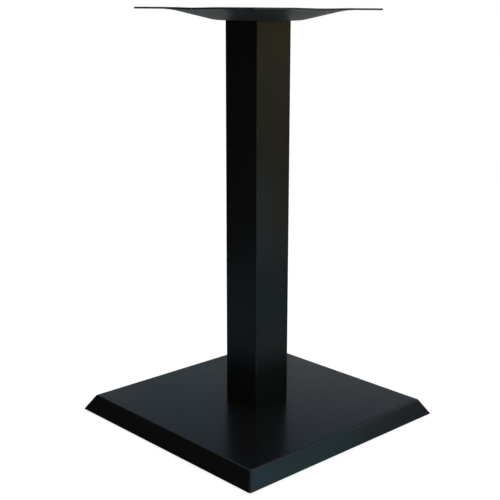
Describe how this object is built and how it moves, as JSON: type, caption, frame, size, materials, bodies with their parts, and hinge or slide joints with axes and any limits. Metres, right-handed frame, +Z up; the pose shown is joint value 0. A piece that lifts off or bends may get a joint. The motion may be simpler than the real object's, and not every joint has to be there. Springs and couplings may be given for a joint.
{
  "type": "pedestal table leg",
  "caption": "Black square pedestal table leg: weighted bevel-edged base on screw feet, square tube column held by a tie rod, and a square top plate with a pressed dish.",
  "frame": {"origin": "centre of the base on the floor, under the pads of the four feet", "axes": "+Z up along the column; X and Y along the sides of the base and of the plate"},
  "size_m": [0.45, 0.45, 0.72],
  "materials": {
    "black_coat": "smooth semi-gloss black powder coat",
    "cast_iron": "raw sand casting, dark grey",
    "pressed_steel": "bare cold-rolled sheet, oiled",
    "plated_steel": "bright zinc plating",
    "foot_plastic": "black moulded nylon"
  },
  "bodies": {
    "leg": {"base_cover": "black_coat", "column_tube": "black_coat", "top_plate": "black_coat", "base_ballast": "cast_iron", "lower_locator": "pressed_steel", "upper_locator": "pressed_steel", "tie_rod": "plated_steel", "upper_washer": "plated_steel", "upper_nut": "plated_steel", "lower_washer": "plated_steel", "lower_nut": "plated_steel", "cover_studs": "plated_steel", "stud_washers": "plated_steel", "stud_nuts": "plated_steel", "lower_locator_screws": "plated_steel", "upper_locator_screws": "plated_steel"},
    "pad_1": {"foot_pad_1": "foot_plastic"},
    "stem_1": {"foot_stem_1": "plated_steel"},
    "pad_2": {"foot_pad_2": "foot_plastic"},
    "stem_2": {"foot_stem_2": "plated_steel"},
    "pad_3": {"foot_pad_3": "foot_plastic"},
    "stem_3": {"foot_stem_3": "plated_steel"},
    "pad_4": {"foot_pad_4": "foot_plastic"},
    "stem_4": {"foot_stem_4": "plated_steel"}
  },
  "joints": [
    {"name": "foot_1_height", "type": "slide", "parent": "leg", "child": "pad_1", "axis": [0, 0, -1], "range_m": [-0.0015, 0.005]},
    {"name": "foot_1_turn", "type": "hinge", "parent": "pad_1", "child": "stem_1", "pos_m": [-0.17, -0.17, 0], "axis": [0, 0, -1], "range_deg": [-432, 1440]},
    {"name": "foot_2_height", "type": "slide", "parent": "leg", "child": "pad_2", "axis": [0, 0, -1], "range_m": [-0.0015, 0.005]},
    {"name": "foot_2_turn", "type": "hinge", "parent": "pad_2", "child": "stem_2", "pos_m": [0.17, -0.17, 0], "axis": [0, 0, -1], "range_deg": [-432, 1440]},
    {"name": "foot_3_height", "type": "slide", "parent": "leg", "child": "pad_3", "axis": [0, 0, -1], "range_m": [-0.0015, 0.005]},
    {"name": "foot_3_turn", "type": "hinge", "parent": "pad_3", "child": "stem_3", "pos_m": [0.17, 0.17, 0], "axis": [0, 0, -1], "range_deg": [-432, 1440]},
    {"name": "foot_4_height", "type": "slide", "parent": "leg", "child": "pad_4", "axis": [0, 0, -1], "range_m": [-0.0015, 0.005]},
    {"name": "foot_4_turn", "type": "hinge", "parent": "pad_4", "child": "stem_4", "pos_m": [-0.17, 0.17, 0], "axis": [0, 0, -1], "range_deg": [-432, 1440]}
  ],
  "couplings": [
    {"joint": "foot_1_height", "follows": "foot_1_turn", "m_per_rad": 0.00019894},
    {"joint": "foot_2_height", "follows": "foot_2_turn", "m_per_rad": 0.00019894},
    {"joint": "foot_3_height", "follows": "foot_3_turn", "m_per_rad": 0.00019894},
    {"joint": "foot_4_height", "follows": "foot_4_turn", "m_per_rad": 0.00019894}
  ]
}
